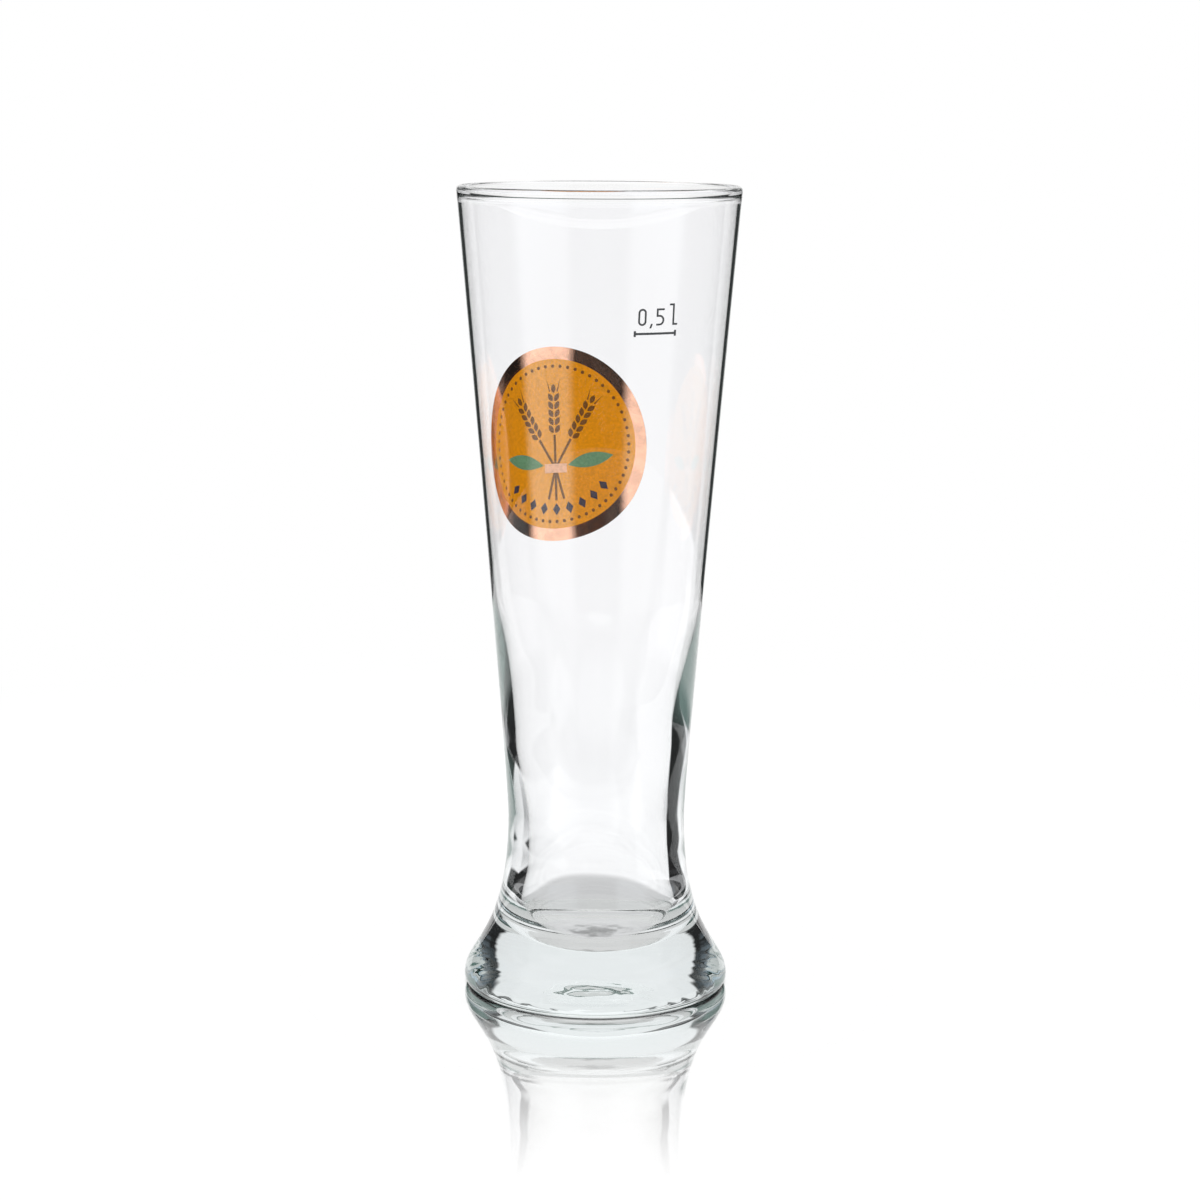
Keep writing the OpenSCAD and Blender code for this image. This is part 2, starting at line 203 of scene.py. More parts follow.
class StageSettings(bpy.types.PropertyGroup):
    """Camera, floor and light."""

    distance: length("Distance", "Camera to the axis of the glass", 871.5)
    aside: length("Aside", "Camera to the right of the axis", 0.8)
    eye_h: length("Eye height", "Camera over the floor", 273.5)
    pitch: angle("Pitch", "How far the camera looks down", 10.03)
    roll: angle("Roll", "How far the camera is turned about its line of sight", 0.312)
    lens: FloatProperty(
        name="Lens", description="Focal length on a 36 mm sensor", default=87.85, unit="CAMERA"
    )

    floor_r: length("Floor", "Radius of the floor", 600)
    mirror: share("Mirror", "Strength of the floor's reflection at the foot", 0.95)
    mirror_near: length("Mirror near", "Radius out to which it is full", 45)
    mirror_far: length("Mirror far", "Radius at which it has faded out", 185)
    # Painted shadow: the contact line is darkness painted on the floor where the foot stands.
    contact: share("Contact", "Darkness of the line where the foot meets the floor", 0.85)
    # Painted shade: centre, under, under_near and under_far set how pale the floor glows under and
    # round the foot, in place of its shadow.
    centre: share("Centre", "Paleness of the floor under the middle of the cup", 0.25)
    under: share("Under", "Paleness of the floor round the foot, through the cup", 0.66)
    under_near: length("Under near", "Radius out to which it is so", 78)
    under_far: length("Under far", "Radius from which it is white", 100)

    dark: level("Dark", "Strength of the dark cards", 0.02)
    card_grey: share("Card grey", "Paleness of the cards on the floor at their far ends", 0.25)
    card_near: length("Card near", "Distance behind and before the glass where they pale", 222)
    card_far: length("Card far", "Distance from which they are so pale", 245)
    left_gap: length("Left gap", "Axis of the glass to the card on the left", 52)
    left_behind: length("Left behind", "Axis to its near edges, behind and before it", 122)
    left_wide: length("Left wide", "Distance from which the left card has no gap", 133)
    right_gap: length("Right gap", "Axis of the glass to the card on the right", 72)
    right_behind: length("Right behind", "Axis to its near edges, behind and before it", 76)
    right_bend: length("Right bend", "Distance from which its near edges run backwards", 130)
    skirt_from: length("Skirt from", "Axis sideways to the cards for the outer face", 150)
    skirt_to: length("Skirt to", "Radius at which those cards end", 330)
    front_near: length("Front near", "White floor in front of the glass, up to here", 100)
    front_far: length("Front far", "Dark floor in front of the glass, from here on", 200)

    backdrop: level("Backdrop", "Strength of the backdrop seen through glass", 1.085)
    haze: colour("Haze", "Colour of the backdrop seen through glass", (0.985, 0.985, 1.0))
    brim: level("Brim", "How much more light it has towards its sides", 0.22)
    low_back: angle("Back below", "Half width of the white behind, under the horizon", 11)
    high_back: angle("Back above", "Half width of the white behind, over the horizon", 42)
    wide_back: angle("Back in mirrors", "Half width of the white behind, off the outer face", 14)
    inner_level: level("Inner level", "Strength of the white behind, inside thick glass", 0.9)
    base_grey: share("Base grey", "Paleness of the room beside the glass, in the base", 0.12)
    side: level("Side light", "Strength of the low side lights", 0.9)
    side_from: angle("Side light from", "Where they begin, from straight behind", 31)
    side_to: angle("Side light to", "Where they end", 57)
    overhead: angle("Overhead", "Height over the horizon from which the room is white", 34)
    soft_edge: angle("Soft edge", "Width of the edge of each pale panel", 4)
    panel: level("Panel", "Strength of the side panels in clear glass", 0.6)
    panel_badge: level("Panel on badge", "Their strength in the badge", 1.65)
    panel_from: angle("Panel from", "Where they begin, from straight behind", 104)
    panel_to: angle("Panel to", "Where they end", 153)
    mirrored: share("Mirrored", "Strength of the ceiling in the far wall", 0.72)
    guided: share("Guided", "Strength of the light that the wall leads on in itself", 0.26)
    guided_tint: colour("Guided tint", "Colour of that light", (0.80, 1.0, 0.95))


# The shape of the glass.

# Steps or points along each part of the profile.
HEEL_STEPS, FOOT_STEPS, BODY_STEPS, BEAD_STEPS, CORNER_STEPS, CUP_STEPS = 14, 44, 72, 26, 22, 18
DIMPLE_POINTS, FLAT_POINTS, WALL_POINTS, KICK_POINTS = 9, 9, 100, 56


def ease(t):
    """Smooth step from 0 to 1."""
    t = min(1.0, max(0.0, t))
    return t * t * (3 - 2 * t)


def between(a, b, t):
    return a + (b - a) * t


def curve(start, low_pull, end, high_pull, steps, lean=0.0):
    """Points along a cubic curve from one (radius, height) up to another.

    Its handles are as long as the pulls. The lower one is upright, and the upper one leans.
    """
    (r, z), (end_r, end_z) = start, end
    handles = [(r, z + low_pull), (end_r - lean * high_pull, end_z - high_pull)]
    p = np.array([start, *handles, end])
    t = np.linspace(0, 1, steps + 1)[:, None]
    u = 1 - t
    return u**3 * p[0] + 3 * t * u**2 * p[1] + 3 * t**2 * u * p[2] + t**3 * p[3]


def arc(middle, half_w, half_h, start, end, steps):
    """Points along an arc of an ellipse, between two angles in degrees."""
    a = np.radians(np.linspace(start, end, steps + 1))
    return np.stack([middle[0] + half_w * np.cos(a), middle[1] + half_h * np.sin(a)], axis=1)


class Profile:
    """Outline of the glass, as rows of (radius, height)."""

    def __init__(self, s):
        self.s = s
        self.bead_middle_h = s.height - s.bead_h / 2
        self.floor_top = s.floor_t + s.dimple_t + s.corner_h
        self.under_r = s.stand_r - s.stand_w
        heel_at = (s.stand_r, s.foot_bulge_h)
        heel = arc(heel_at, s.foot_r - s.stand_r, s.foot_bulge_h, -90, 0, HEEL_STEPS)
        foot_at, waist_at = (s.foot_r, s.foot_bulge_h), (s.waist_r, s.waist_h)
        rim_at = (s.rim_r, self.bead_middle_h)
        foot = curve(foot_at, s.foot_pull, waist_at, s.under_waist_pull, FOOT_STEPS)
        body = curve(waist_at, s.over_waist_pull, rim_at, s.rim_pull, BODY_STEPS, s.rim_lean)
        self.outside = np.concatenate([heel, foot[1:], body[1:]])
        bead_at = (s.rim_r - s.bead_w / 2, self.bead_middle_h)
        end = degrees(s.bead_end)
        self.bead = arc(bead_at, s.bead_w / 2, s.bead_h / 2, 0, end, BEAD_STEPS)[1:]

    def outside_r(self, z):
        return float(np.interp(z, self.outside[:, 1], self.outside[:, 0]))

    def wall_at(self, z):
        s = self.s
        if z < s.neck_h:
            rise = (z - s.cup_waist_h) / (s.neck_h - s.cup_waist_h)
            return between(s.waist_wall_t, s.neck_wall_t, ease(rise))
        return between(s.neck_wall_t, s.wall_t, ease((z - s.neck_h) / (s.thin_h - s.neck_h)))

    def inside(self):
        """From the middle of the floor up to the foot of the bead."""
        s = self.s
        top = self.floor_top
        shares = np.linspace(0, 1, DIMPLE_POINTS)
        dimple = [(s.dimple_r * t, s.floor_t + s.dimple_t * ease(t)) for t in shares]
        flat_end = s.cup_floor_r - s.corner_w
        radii = np.linspace(s.dimple_r, flat_end, FLAT_POINTS)[1:-1]
        flat = [(r, s.floor_t + s.dimple_t) for r in radii]
        corner = arc((flat_end, top), s.corner_w, s.corner_h, -90, 0, CORNER_STEPS)
        waist_r = self.outside_r(s.cup_waist_h) - self.wall_at(s.cup_waist_h)
        cup_at, waist_at = (s.cup_floor_r, top), (waist_r, s.cup_waist_h)
        cup = curve(cup_at, s.cup_floor_pull, waist_at, s.cup_waist_pull, CUP_STEPS)
        wall_top = s.height - s.bead_h - s.bead_w / 4
        heights = np.linspace(s.cup_waist_h, wall_top, WALL_POINTS)[1:]
        wall = [(self.outside_r(z) - self.wall_at(z), z) for z in heights]
        return np.concatenate([dimple, flat, corner, cup[1:], wall])

    def underside(self):
        """From the middle of the hollow out to the flat ring."""
        s = self.s
        shares = np.linspace(0, 1, KICK_POINTS)
        kick = [(self.under_r * t, s.kick_h * (1 - ease(t))) for t in shares]
        ring = [(s.stand_r - s.stand_w * t, 0.0) for t in (0.66, 0.33)]
        return np.array(kick + ring)

    def rows(self):
        return np.concatenate([self.underside(), self.outside, self.bead, self.inside()[::-1]])


# Each slow wave of the wall: size, waves round the glass, radians for a step of height, start.
WALL_WAVES = ((0.45, 2, 5.1, 0.8), (0.30, 3, -7.7, 2.1), (0.25, 5, 11.3, 4.0))
WAVE_STEP_H = 60 * MM

# How far the inside lies towards +X, as shares of the drift, at heights in millimetres. It is
# averaged over the heights near each point.
DRIFT_HEIGHTS = (20, 46, 62, 80, 104, 130)
DRIFT_SHARES = (0.7, 0.1, -0.5, -0.9, 0.4, 0.0)
DRIFT_NEAR = range(-8, 9, 2)

# Points this far inside the outline, and over the floor less the slack, are on the inside.
SKIN, FLOOR_SLACK, UNDER_SLACK = 0.6 * MM, 1 * MM, 0.1 * MM
# Lengths over which the unevenness fades: over the cup's bottom, to this far under the bead,
# at the top of the cup's bottom, and at the stand ring.
WALL_FADE, BEAD_CLEAR, BEAD_FADE, CUP_FADE, RING_FADE = 10 * MM, 6 * MM, 20 * MM, 3 * MM, 2 * MM
# The underside is calm in its middle and rough from there on.
CALM_R, ROUGH_R, CALM, ROUGH = 16 * MM, 30 * MM, 0.4, 2.6
RIPPLE_SIZE = 1.4 * MM


def waves(x, y, z):
    """Slow unevenness of the inside of the wall, from -1 to 1."""
    a, h = atan2(y, x), z / WAVE_STEP_H
    return sum(size * sin(n * a + climb * h + start) for size, n, climb, start in WALL_WAVES)


def drift_at(z):
    """How far the inside lies towards +X at a height, as a share of the drift."""
    heights = [z / MM + near for near in DRIFT_NEAR]
    return float(np.interp(heights, DRIFT_HEIGHTS, DRIFT_SHARES).mean())


def striae(x, y):
    """Long, nearly level streaks of a pressed face, from about -1 to 1."""
    x, y = x / MM, (y + 0.12 * x) / MM
    long = noise.noise((x / 9, y / 2.4, 0.3))
    fine = noise.noise((x / 3.4, y / 1.7, 7.1))
    return long + 0.6 * fine


def ripples(x, y, size):
    """Fine swirling unevenness of a pressed face, from -1 to 1."""
    r, a = hypot(x, y) / size, atan2(y, x)
    swirl = a + 0.35 * r
    return (
        0.40 * sin(1.9 * r + 2.0 * sin(swirl))
        + 0.35 * sin(3.7 * r + 3 * swirl)
        + 0.25 * sin(5.3 * r - 5 * swirl + 1.3)
    )


def unevenness(co, profile):
    """How far a point of the spun glass moves, by the drift, the waves and the ripples."""
    s = profile.s
    x, y, z = co
    r = hypot(x, y)
    outer = profile.outside_r(min(z, profile.bead_middle_h))
    wall_end = s.height - s.bead_h - BEAD_CLEAR
    if z < s.kick_h + UNDER_SLACK and r < profile.under_r:
        rough = between(CALM, ROUGH, ease((r - CALM_R) / (ROUGH_R - CALM_R)))
        fade = ease((profile.under_r - r) / RING_FADE) * rough
        return Vector((0, 0, fade * s.ripple * (0.6 + 0.5 * striae(x, y))))
    if r >= outer - SKIN or not s.floor_t - FLOOR_SLACK < z < wall_end:
        return Vector()
    shift = Vector((s.drift * drift_at(z), 0, 0))
    if z < profile.floor_top:
        fade = ease((profile.floor_top - z) / CUP_FADE)
        shift.z = fade * 0.5 * s.ripple * ripples(x, y, RIPPLE_SIZE)
    else:
        fade = ease((z - profile.floor_top) / WALL_FADE) * ease((wall_end - z) / BEAD_FADE)
        thick = (outer - r) / s.waist_wall_t
        shift += Vector((x, y, 0)) / r * (fade * thick * s.wave * waves(x, y, z))
    return shift


def glass_mesh(scene):
    """The whole glass, spun from its profile and then made uneven."""
    profile = Profile(scene.glass_sizes)
    bm = bmesh.new()
    points = [bm.verts.new((r, 0, z)) for r, z in profile.rows()]
    edges = [bm.edges.new(pair) for pair in zip(points, points[1:])]
    bmesh.ops.spin(
        bm,
        geom=points + edges,
        cent=(0, 0, 0),
        axis=(0, 0, 1),
        angle=2 * pi,
        steps=profile.s.segments,
        use_merge=True,
    )
    bmesh.ops.remove_doubles(bm, verts=bm.verts, dist=0.002 * MM)
    bmesh.ops.recalc_face_normals(bm, faces=bm.faces)
    for v in bm.verts:
        v.co += unevenness(v.co, profile)
    return bm


# The fired layers.

# Steps along the outlines.
BADGE_SEGMENTS, NOUGHT_SEGMENTS, DOT_SEGMENTS, BOWL_STEPS, LEAF_STEPS = 192, 32, 12, 16, 14
FACET_RATIO = 4  # facets of a layer are so much longer up the wall than round it
SAME = 1e-7  # metres within which two points count as one


def turned(points, a):
    c, s = cos(a), sin(a)
    return [(x * c - y * s, x * s + y * c) for x, y in points]


def moved(points, shift):
    return [(x + shift[0], y + shift[1]) for x, y in points]


def lens(w, l, steps=6):
    """Outline of a grain or a leaf, pointed at both ends."""
    t = [2 * i / steps - 1 for i in range(steps + 1)]
    right = [(w / 2 * (1 - k * k), l / 2 * k) for k in t]
    left = [(-w / 2 * (1 - k * k), l / 2 * k) for k in reversed(t[1:-1])]
    return right + left


def bar(low, w, h):
    """Outline of an upright bar on the middle line."""
    return [(-w / 2, low), (w / 2, low), (w / 2, low + h), (-w / 2, low + h)]


def sheet(outlines):
    """Flat faces with these outlines, cut into triangles."""
    bm = bmesh.new()
    for outline in outlines:
        bm.faces.new([bm.verts.new((x, y, 0)) for x, y in outline])
    bm.normal_update()
    bmesh.ops.triangulate(bm, faces=bm.faces)
    return bm


def disc(r, segments):
    """A flat round face."""
    bm = bmesh.new()
    bmesh.ops.create_circle(bm, cap_ends=True, cap_tris=True, segments=segments, radius=r)
    return bm


def band(r_out, r_in, segments):
    """A flat round band."""
    bm = bmesh.new()
    outer = bmesh.ops.create_circle(bm, segments=segments, radius=r_out)["verts"]
    inner = bmesh.ops.create_circle(bm, segments=segments, radius=r_in)["verts"]
    edges = {e for v in outer + inner for e in v.link_edges}
    bmesh.ops.bridge_loops(bm, edges=list(edges))
    return bm


def cut(bm, axis, step):
    """Cuts flat faces across one axis, so that they can be bent."""
    low = min(v.co[axis] for v in bm.verts)
    high = max(v.co[axis] for v in bm.verts)
    steps = int((high - low) / step)
    normal = Vector((0, 0, 0))
    normal[axis] = 1
    for i in range(1, steps + 1):
        at = normal * (low + (high - low) * i / (steps + 1))
        geom = bm.verts[:] + bm.edges[:] + bm.faces[:]
        bmesh.ops.bisect_plane(bm, geom=geom, plane_co=at, plane_no=normal, dist=SAME)


def wrapped(scene, bm, low, high, middle_h, turn):
    """Thickens flat faces from low to high off the wall, and wraps them round it."""
    p = scene.print_sizes
    profile = Profile(scene.glass_sizes)
    cut(bm, 0, p.step)
    cut(bm, 1, FACET_RATIO * p.step)
    bmesh.ops.translate(bm, verts=bm.verts, vec=(0, 0, low))
    raised = bmesh.ops.extrude_face_region(bm, geom=bm.faces[:])["geom"]
    top = [g for g in raised if isinstance(g, bmesh.types.BMVert)]
    bmesh.ops.translate(bm, verts=top, vec=(0, 0, high - low))
    bmesh.ops.recalc_face_normals(bm, faces=bm.faces)
    about = Matrix.Rotation(turn, 3, "Z")
    for v in bm.verts:
        u, up, out = v.co
        z = middle_h + up
        r = profile.outside_r(z)
        a = u / r
        v.co = about @ Vector(((r + out) * sin(a), -(r + out) * cos(a), z))
    return bm


def on_badge(scene, bm, is_ground=False):
    p = scene.print_sizes
    middle = scene.glass_sizes.height - p.badge_drop
    low, high = (2 * p.skin_t, p.layer_t - p.skin_t) if is_ground else (p.skin_t, p.layer_t)
    return wrapped(scene, bm, low, high, middle, p.badge_turn)


def on_mark(scene, bm):
    p = scene.print_sizes
    middle = scene.glass_sizes.height - p.fill_drop
    return wrapped(scene, bm, p.skin_t, p.layer_t, middle, p.mark_turn)


def on_sheaf(p, points, lean):
    return moved(turned(points, lean), (0, -p.knot_drop))


def ear_outlines(p):
    """Grains in pairs up each stalk, a grain at the tip, and two bristles."""
    start = p.ribbon_h / 2 + p.stalk_l
    top = start + p.grain_pairs * p.grain_pitch
    shift = (p.grain_w + p.gap) / 2
    grain = lens(p.grain_w, p.grain_l)
    bristle = [(-p.awn_w / 2, 0), (p.awn_w / 2, 0), (0, p.awn_l)]
    outlines = []
    for lean in (-p.ear_angle, 0, p.ear_angle):
        for side in (-1, 1):
            leaning = turned(grain, -side * p.grain_angle)
            for i in range(p.grain_pairs):
                at = (side * shift, start + p.grain_pitch * (i + 0.5))
                outlines.append(on_sheaf(p, moved(leaning, at), lean))
            leaning = turned(bristle, -side * p.grain_angle / 2)
            at = (side * (p.grain_w / 2 + p.awn_w), top + p.gap)
            outlines.append(on_sheaf(p, moved(leaning, at), lean))
        outlines.append(on_sheaf(p, moved(grain, (0, top + p.grain_l / 2)), lean))
    return outlines


def stalk_outlines(p):
    outlines = []
    upper = bar(p.ribbon_h / 2, p.stalk_w, p.stalk_l - p.gap)
    lower = bar(-p.ribbon_h / 2 - p.tail_l, p.stalk_w, p.tail_l)
    for lean in (-p.ear_angle, 0, p.ear_angle):
        outlines.append(on_sheaf(p, upper, lean))
        outlines.append(on_sheaf(p, lower, -lean / 2))
    return outlines


def leaf_outlines(p):
    leaf = moved(lens(p.leaf_w, p.leaf_l, LEAF_STEPS), (0, p.ribbon_w / 2 + p.gap + p.leaf_l / 2))
    return [on_sheaf(p, leaf, side * p.leaf_angle) for side in (-1, 1)]


def ribbon_outlines(p):
    return [on_sheaf(p, bar(-p.ribbon_h / 2, p.ribbon_w, p.ribbon_h), 0)]


def dot_outlines(p):
    dot = [tuple(q) for q in arc((0, 0), p.dot_r, p.dot_r, 0, 360, DOT_SEGMENTS)[:-1]]
    steps = [2 * pi * i / p.dot_count for i in range(p.dot_count)]
    return [moved(dot, (p.dots_r * cos(a), p.dots_r * sin(a))) for a in steps]


def lozenge_outlines(p):
    w, h = p.lozenge_w / 2, p.lozenge_h / 2
    lozenge = moved([(w, 0), (0, h), (-w, 0), (0, -h)], (0, -p.lozenge_arc_r))
    middle = (p.lozenge_count - 1) / 2
    return [turned(lozenge, (i - middle) * p.lozenge_angle) for i in range(p.lozenge_count)]


def line_outlines(p):
    """The fill line, with a tick at each end."""
    w, h, t, inner = p.line_w / 2, p.tick_h / 2, p.line_t / 2, p.line_w / 2 - p.line_t
    upper = [(w, -h), (w, h), (inner, h), (inner, t), (-inner, t), (-inner, h), (-w, h)]
    return [upper + [(-w, -h), (-inner, -h), (-inner, -t), (inner, -t), (inner, -h)]]


# Places of the figures along the fill line, from its middle.
ZERO_U, COMMA_U, FIVE_U, LETTER_U = -4.3 * MM, -1.6 * MM, 1.3 * MM, 5.6 * MM


def stroke_outlines(p):
    """The comma, the five and the letter of the measure."""
    t, low = p.stroke_w, p.figure_gap
    lean = p.comma_l * p.comma_lean
    comma = [(0, 0), (t, 0), (t - lean, -p.comma_l), (-lean, -p.comma_l)]
    bowl_h = p.figure_h * p.bowl
    r = bowl_h / 2
    middle = (p.figure_w - r, r)
    five = [(0, 0)]
    five += [tuple(q) for q in arc(middle, r, r, -90, 90, BOWL_STEPS)]
    five += [(t, bowl_h), (t, p.figure_h - t), (p.figure_w, p.figure_h - t)]
    five += [(p.figure_w, p.figure_h), (0, p.figure_h), (0, bowl_h - t)]
    five += [tuple(q) for q in arc(middle, r - t, r - t, 90, -90, BOWL_STEPS)]
    five += [(0, t)]
    foot = t + p.serif_w
    letter = [(0, 0), (foot, 0), (foot, t), (t, t), (t, p.letter_h), (-p.serif_w, p.letter_h)]
    letter += [(-p.serif_w, p.letter_h - t), (0, p.letter_h - t)]
    return [
        moved(comma, (COMMA_U, low + t)),
        moved(five, (FIVE_U - p.figure_w / 2, low)),
        moved(letter, (LETTER_U - t / 2, low)),
    ]


def add_nought(bm, p):
    """The nought, a round band drawn out upwards."""
    outer_r = p.figure_w / 2
    ring = band(outer_r, outer_r - p.stroke_w, NOUGHT_SEGMENTS)
    spare = bpy.data.meshes.new("spare")
    for v in ring.verts:
        if v.co.y > SAME:
            v.co.y += p.figure_h - 2 * outer_r
    bmesh.ops.translate(ring, verts=ring.verts, vec=(ZERO_U, p.figure_gap + outer_r, 0))
    ring.to_mesh(spare)
    ring.free()
    bm.from_mesh(spare)
    bpy.data.meshes.remove(spare)


# The materials.

WHITE = (1.0, 1.0, 1.0, 1.0)
GLASS_IOR, AMBER_IOR, ENAMEL_IOR = 1.52, 2.0, 1.45
AMBER_GLINT = (1.0, 0.93, 0.60)
AMBER_ROUGHNESS, MARK_ROUGHNESS, ENAMEL_ROUGHNESS = 0.09, 0.5, 0.16
ENAMEL_SPREAD = 0.12  # how far the enamel is darker or lighter in places
ENAMEL_GRAIN = 1400  # spots to the metre
GRAIN_H = 0.02 * MM


class Shader:
    """The nodes of a material or of the world, made one by one."""

    def __init__(self, owner, kind="Material"):
        owner.use_nodes = True
        self.tree = owner.node_tree
        self.tree.nodes.clear()
        self.out = self.node("Output" + kind)

    def node(self, kind, inputs=None, **settings):
        """A node with these settings. Each of its inputs is a number, a colour or a link."""
        n = self.tree.nodes.new("ShaderNode" + kind)
        for name, value in settings.items():
            setattr(n, name, value)
        for name, value in (inputs or {}).items():
            if isinstance(value, bpy.types.NodeSocket):
                self.tree.links.new(value, n.inputs[name])
            else:
                n.inputs[name].default_value = value
        return n

    def get(self, kind, inputs, **settings):
        """The first output of a new node."""
        return self.node(kind, inputs, **settings).outputs[0]

    def show(self, shader, part="Surface"):
        """Ends the nodes in this shader."""
        self.tree.links.new(shader, self.out.inputs[part])

    def math(self, operation, a, b=0.0, clamp=False):
        return self.get("Math", {0: a, 1: b}, operation=operation, use_clamp=clamp)

    def times(self, first, *others):
        """The product of these."""
        for value in others:
            first = self.math("MULTIPLY", first, value)
        return first

    def most(self, first, *others):
        """The largest of these."""
        for value in others:
            first = self.math("MAXIMUM", first, value)
        return first

    def rest(self, value):
        """What a share leaves of 1."""
        return self.math("SUBTRACT", 1.0, value)

    def ramp(self, value, low, high, start=0.0, end=1.0):
        """Smooth step of a value between low and high."""
        inputs = {0: value, 1: low, 2: high, 3: start, 4: end}
        return self.get("MapRange", inputs, interpolation_type="SMOOTHSTEP")

    def fall(self, value, low, high, start=1.0):
        """Smooth step down to 0."""
        return self.ramp(value, low, high, start, 0.0)

    def mix(self, factor, a, b):
        """Mix of two numbers."""
        return self.get("Mix", {0: factor, 2: a, 3: b}, data_type="FLOAT")

    def tint(self, factor, low, high):
        """Mix of two colours."""
        n = self.node("Mix", {0: factor, 6: low, 7: high}, data_type="RGBA")
        return n.outputs[2]

    def blend(self, factor, a, b):
        """Mix of two shaders."""
        return self.get("MixShader", {0: factor, 1: a, 2: b})

    def noise(self, scale, detail=4.0):
        """Noise on Object coordinates, with this many spots to the metre."""
        place = self.node("TexCoord").outputs["Object"]
        n = self.node("TexNoise", {"Vector": place, "Scale": scale, "Detail": detail})
        return n.outputs["Fac"]

    def mottle(self, fac, start=0.0, end=1.0, low=0.3, high=0.7):
        """Noise spread out, so that it reaches from start to end."""
        return self.ramp(fac, low, high, start, end)

    def bump(self, height, strength):
        return self.get("Bump", {"Strength": strength, "Distance": GRAIN_H, "Height": height})


def opaque(rgb):
    """A colour as the sockets take it."""
    return (*rgb, 1.0)


def shaded(rgb, by):
    return opaque(min(1.0, c * by) for c in rgb)


def glass_material(f):
    m = bpy.data.materials.new("soda_lime_glass")
    s = Shader(m)
    clear = {"Base Color": WHITE, "Roughness": 0.0, "IOR": GLASS_IOR, "Transmission Weight": 1.0}
    s.show(s.get("BsdfPrincipled", clear))
    depth = {"Color": opaque(f.glass), "Density": f.glass_density}
    s.show(s.get("VolumeAbsorption", depth), "Volume")
    return m


def copper_material(f):
    """Bright copper lustre, with the faint clouds of a fired metal."""
    m = bpy.data.materials.new("copper_lustre")
    s = Shader(m)
    cloud = s.mottle(s.noise(260), low=0.35, high=0.65)
    lustre = {
        "Base Color": s.tint(cloud, shaded(f.copper, 0.9), shaded(f.copper, 1.08)),
        "Metallic": 1.0,
        "Roughness": s.mottle(s.noise(900), 0.06, 0.12),
        "Normal": s.bump(s.noise(2200, 2), 0.10),
    }
    s.show(s.get("BsdfPrincipled", lustre))
    return m


def enamel_material(name, rgb, roughness=ENAMEL_ROUGHNESS, ior=ENAMEL_IOR, glint=(1, 1, 1)):
    """Fired enamel, with the uneven grain of a screen print."""
    m = bpy.data.materials.new(name)
    s = Shader(m)
    fine = s.noise(ENAMEL_GRAIN, 3)
    low, high = shaded(rgb, 1 - ENAMEL_SPREAD), shaded(rgb, 1 + ENAMEL_SPREAD)
    coarse = s.noise(0.4 * ENAMEL_GRAIN)
    enamel = {
        "Base Color": s.tint(s.mottle(fine), low, high),
        "Roughness": s.mottle(coarse, 0.8 * roughness, 1.3 * roughness),
        "IOR": ior,
        "Specular Tint": opaque(glint),
        "Normal": s.bump(fine, 0.3),
    }
    s.show(s.get("BsdfPrincipled", enamel))
    return m


# The pieces.


def finish_piece(context, bm, name, node, material):
    """Makes the mesh a piece that stands for its CAD node."""
    loose = [e for e in bm.edges if not e.is_manifold]
    if loose:
        raise RuntimeError(f"{name}: {len(loose)} open edges")
    if bm.calc_volume(signed=True) < 0:
        bmesh.ops.reverse_faces(bm, faces=bm.faces)
    for f in bm.faces:
        f.smooth = True
    mesh = bpy.data.meshes.new(name)
    bm.to_mesh(mesh)
    bm.free()
    piece = bpy.data.objects.new(name, mesh)
    context.scene.collection.objects.link(piece)
    mesh.materials.append(material)
    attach(piece, BODY)
    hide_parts(node)


SHARP = radians(40)


def sharpened(bm):
    """Keeps the sides of a thin layer from being shaded into its faces."""
    for e in bm.edges:
        if len(e.link_faces) == 2 and e.calc_face_angle(0) > SHARP:
            e.smooth = False
    return bm


class WEIZEN_OT_glass(bpy.types.Operator):
    """Spin the glass with its foot, wall and bead"""

    bl_idname = "weizen.glass"
    bl_label = "Glass"

    def execute(self, context):
        bm = glass_mesh(context.scene)
        material = glass_material(context.scene.finishes)
        finish_piece(context, bm, "tall_glass", "glass_body", material)
        return {"FINISHED"}


class WEIZEN_OT_copper_ring(bpy.types.Operator):
    """Wrap the copper ring round the wall"""

    bl_idname = "weizen.copper_ring"
    bl_label = "Copper ring"

    def execute(self, context):
        p = context.scene.print_sizes
        ring = band(p.badge_d / 2, p.badge_d / 2 - p.ring_w, BADGE_SEGMENTS)
        bm = sharpened(on_badge(context.scene, ring))
        material = copper_material(context.scene.finishes)
        finish_piece(context, bm, "badge_ring", "copper_ring", material)
        return {"FINISHED"}


class WEIZEN_OT_amber_ground(bpy.types.Operator):
    """Wrap the amber ground round the wall"""

    bl_idname = "weizen.amber_ground"
    bl_label = "Amber ground"

    def execute(self, context):
        p = context.scene.print_sizes
        ground = disc(p.badge_d / 2 - p.ring_w, BADGE_SEGMENTS)
        bm = sharpened(on_badge(context.scene, ground, is_ground=True))
        amber = context.scene.finishes.amber
        material = enamel_material("amber_enamel", amber, AMBER_ROUGHNESS, AMBER_IOR, AMBER_GLINT)
        finish_piece(context, bm, "badge_ground", "amber_ground", material)
        return {"FINISHED"}


class MotifOperator:
    """What the operators for the motifs share. The CAD node is named for colour and motif."""

    def execute(self, context):
        scene = context.scene
        paint, motif = self.cad_node.split("_")
        piece = "badge_" + motif
        bm = sharpened(on_badge(scene, sheet(self.outlines(scene.print_sizes))))
        material = enamel_material(piece, getattr(scene.finishes, paint))
        finish_piece(context, bm, piece, self.cad_node, material)
        return {"FINISHED"}


class WEIZEN_OT_dots(MotifOperator, bpy.types.Operator):
    """Wrap the circle of dots round the wall"""

    bl_idname = "weizen.dots"
    bl_label = "Circle of dots"
    cad_node = "brown_dots"
    outlines = staticmethod(dot_outlines)


